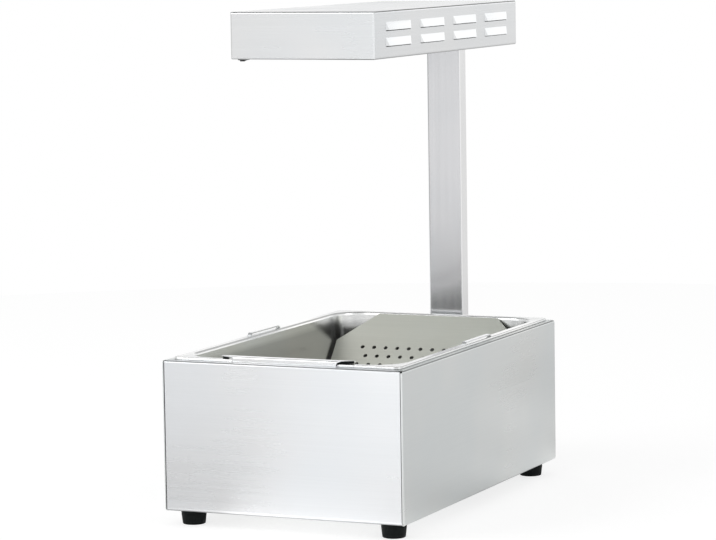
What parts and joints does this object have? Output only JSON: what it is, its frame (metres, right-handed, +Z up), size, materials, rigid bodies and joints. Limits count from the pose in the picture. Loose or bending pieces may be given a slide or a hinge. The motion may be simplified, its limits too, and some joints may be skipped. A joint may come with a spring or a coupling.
{
  "type": "chip warmer",
  "caption": "Counter-top chip warmer: folded steel housing with a deep lift-out food pan and sloping drain plate, under a louvred infrared lamp hood on a rear post.",
  "frame": {"origin": "middle of the footprint, on the surface that the feet stand on", "axes": "+X to the right seen from the front, +Y from the front panel towards the post, +Z up"},
  "size_m": [0.342, 0.5832, 0.6702],
  "materials": {
    "brushed_steel": "fine brushed grain, satin",
    "pan_steel": "drawn sheet, semi-bright, soft brushed walls",
    "grip_steel": "satin",
    "drain_steel": "matt rolled sheet",
    "rubber": "matt moulded",
    "zinc_steel": "bright zinc plate",
    "reflector_aluminium": "bright polished sheet",
    "quartz": "clear quartz",
    "filament": "dark oxidised wire",
    "ceramic": "matt steatite ceramic",
    "guard_chrome": "plated wire",
    "lead_sleeve": "woven glass sleeve",
    "black_plastic": "fine moulded grain"
  },
  "bodies": {
    "base": {"side_left": "brushed_steel", "side_right": "brushed_steel", "front_panel": "brushed_steel", "rear_panel": "brushed_steel", "base_plate": "brushed_steel", "foot_front_left": "rubber", "foot_front_right": "rubber", "foot_rear_left": "rubber", "foot_rear_right": "rubber", "foot_screws": "zinc_steel", "foot_nuts": "zinc_steel", "post": "brushed_steel", "post_cover": "brushed_steel", "post_bracket": "brushed_steel", "bracket_screws": "zinc_steel", "post_screws": "zinc_steel", "hood_shell": "brushed_steel", "hood_rear": "brushed_steel", "hood_bracket": "brushed_steel", "hood_screws": "zinc_steel", "reflector": "reflector_aluminium", "lamp_left": "quartz", "lamp_right": "quartz", "lamp_filaments": "filament", "lamp_holders_front": "ceramic", "lamp_holders_rear": "ceramic", "lamp_guard": "guard_chrome", "hood_terminal": "ceramic", "base_terminal": "ceramic", "lamp_lead": "lead_sleeve", "lead_grommet": "rubber", "cable_gland": "black_plastic", "gland_nut": "black_plastic", "switch_body": "black_plastic"},
    "pan": {"food_pan": "pan_steel", "grip_left": "grip_steel", "grip_right": "grip_steel", "grip_front": "grip_steel"},
    "drain": {"drain_plate": "drain_steel"},
    "rocker": {"switch_rocker": "black_plastic"}
  },
  "joints": [
    {"name": "pan_lift", "type": "slide", "parent": "base", "child": "pan", "axis": [0, 0, 1], "range_m": [0, 0.165]},
    {"name": "plate_lift", "type": "slide", "parent": "pan", "child": "drain", "axis": [0, 0, 1], "range_m": [0, 0.16]},
    {"name": "switch_tilt", "type": "hinge", "parent": "base", "child": "rocker", "pos_m": [-0.0905, -0.19435, 0.6086], "axis": [1, 0, 0], "range_deg": [-16, 0]}
  ]
}
